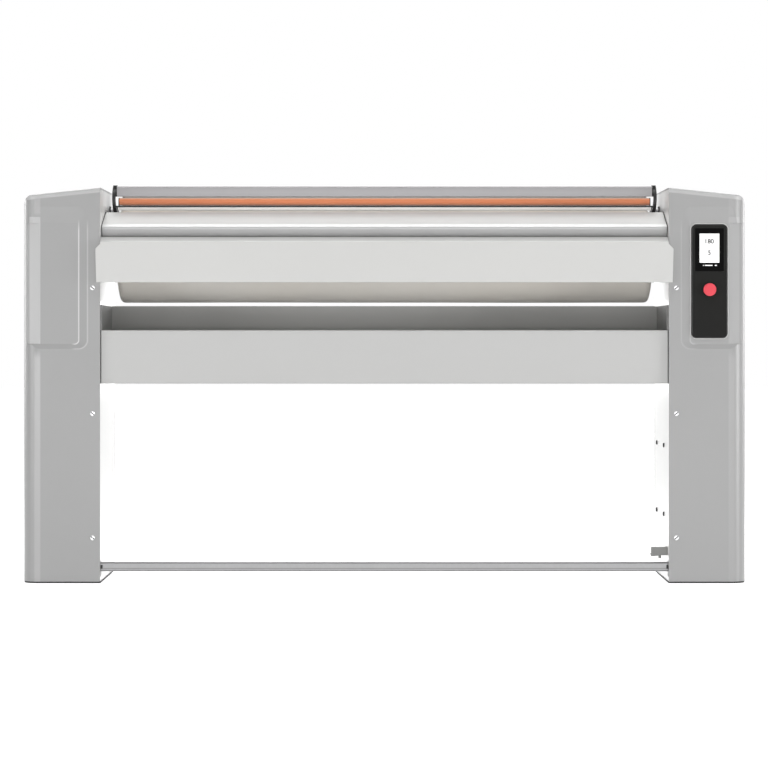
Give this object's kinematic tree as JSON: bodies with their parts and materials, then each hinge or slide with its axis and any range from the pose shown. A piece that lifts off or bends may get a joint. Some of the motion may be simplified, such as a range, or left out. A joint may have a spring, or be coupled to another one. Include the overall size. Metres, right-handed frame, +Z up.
{
  "type": "flatwork ironer",
  "caption": "Roller ironer for flat linen: padded roller against a hinged heated chest between two cabinets, with feed table, finger guard, linen trough and foot bar.",
  "frame": {"origin": "centre of the overall footprint on the floor", "axes": "+X to the right seen from the front, -Y the front where linen is fed in, +Z up"},
  "size_m": [1.866, 0.46, 1.036],
  "materials": {
    "cabinet_paint": "satin mid grey",
    "wall_paint": "satin white",
    "light_paint": "satin light grey",
    "dark_paint": "satin mid grey",
    "black_paint": "satin black",
    "orange_tube": "semi-gloss orange",
    "steel": "machined",
    "zinc": "bright zinc plated",
    "guard_aluminium": "anodised",
    "chest_aluminium": "polished",
    "cast_iron": "cast",
    "cloth": "plain cream cloth over padding",
    "rubber": "moulded",
    "belt_rubber": "moulded",
    "fascia_plastic": "matt charcoal",
    "black_plastic": "matt black",
    "glass_black": "gloss black",
    "screen": "lit white screen",
    "button_red": "gloss red",
    "insulation": "mineral wool blanket"
  },
  "bodies": {
    "frame": {"left_inner_panel": "wall_paint", "right_inner_panel": "wall_paint", "left_cabinet_cover": "cabinet_paint", "right_cabinet_cover": "cabinet_paint", "left_base_plate": "zinc", "right_base_plate": "zinc", "foot_pads": "rubber", "foot_studs": "zinc", "cover_screws": "zinc", "feed_table": "light_paint", "table_brackets": "light_paint", "front_apron": "light_paint", "trough_front_panel": "light_paint", "trough_pan": "dark_paint", "rear_tie_beam": "dark_paint", "front_tie_beam": "dark_paint", "roller_bearings": "cast_iron", "pivot_bushes": "black_plastic", "push_rod_guides": "black_plastic", "pedal_pivot_pins": "steel", "pedal_stop_bracket": "dark_paint", "guard_switch": "black_plastic", "control_fascia": "fascia_plastic", "display_glass": "glass_black", "display_screen": "screen", "display_module": "black_plastic", "stop_button_base": "black_plastic", "drive_mount_plate": "steel", "drive_mount_bolts": "black_paint", "gearbox": "cast_iron", "drive_motor": "cast_iron", "drive_belt": "belt_rubber", "cable_gland": "black_plastic", "power_plate": "zinc", "contactors": "black_plastic"},
    "roller": {"roller_padding": "cloth", "roller_tube": "steel", "roller_end_discs": "steel", "roller_shafts": "steel", "roller_pulley": "cast_iron"},
    "drive": {"drive_shaft": "steel", "drive_pulley": "cast_iron"},
    "chest": {"heated_chest": "chest_aluminium", "heating_elements": "steel", "chest_insulation": "insulation", "chest_cover": "light_paint", "chest_end_plates": "steel", "chest_trunnions": "steel", "chest_arms": "steel", "chest_pivot_shaft": "steel", "pressure_spring": "steel"},
    "push_rod": {"push_rod": "steel"},
    "pedal": {"pedal_bar": "zinc", "pedal_arms": "steel"},
    "finger_guard": {"guard_arms": "black_paint", "guard_bar": "guard_aluminium", "guard_tube": "orange_tube", "guard_rail": "black_paint", "guard_pivot_pins": "zinc"},
    "stop_button": {"stop_button_cap": "button_red"}
  },
  "joints": [
    {"name": "roller_spin", "type": "hinge", "parent": "frame", "child": "roller", "pos_m": [0, 0.027, 0.85], "axis": [1, 0, 0], "continuous": true},
    {"name": "drive_spin", "type": "hinge", "parent": "frame", "child": "drive", "pos_m": [0.863, 0.028, 0.261], "axis": [1, 0, 0], "continuous": true},
    {"name": "chest_swing", "type": "hinge", "parent": "frame", "child": "chest", "pos_m": [0, 0.133, 0.65], "axis": [-1, 0, 0], "range_deg": [0, 3.1], "stiffness_Nm_per_rad": 120, "springref_deg": -25.78, "deforming": ["pressure_spring"]},
    {"name": "rod_lift", "type": "slide", "parent": "frame", "child": "push_rod", "axis": [0, 0, 1], "range_m": [0, 0.0033]},
    {"name": "pedal_press", "type": "hinge", "parent": "frame", "child": "pedal", "pos_m": [0, 0.02, 0.064], "axis": [1, 0, 0], "range_deg": [0, 3.6]},
    {"name": "guard_lift", "type": "hinge", "parent": "frame", "child": "finger_guard", "pos_m": [0, 0.072, 0.9715], "axis": [-1, 0, 0], "range_deg": [0, 25]},
    {"name": "stop_press", "type": "slide", "parent": "frame", "child": "stop_button", "axis": [0, 1, 0], "range_m": [0, 0.005], "stiffness_N_per_m": 2000, "springref_m": -0.004}
  ],
  "couplings": [
    {"joint": "drive_spin", "follows": "roller_spin", "ratio": 3},
    {"joint": "rod_lift", "follows": "chest_swing", "m_per_rad": 0.06},
    {"joint": "pedal_press", "follows": "chest_swing", "ratio": 1.1321}
  ]
}
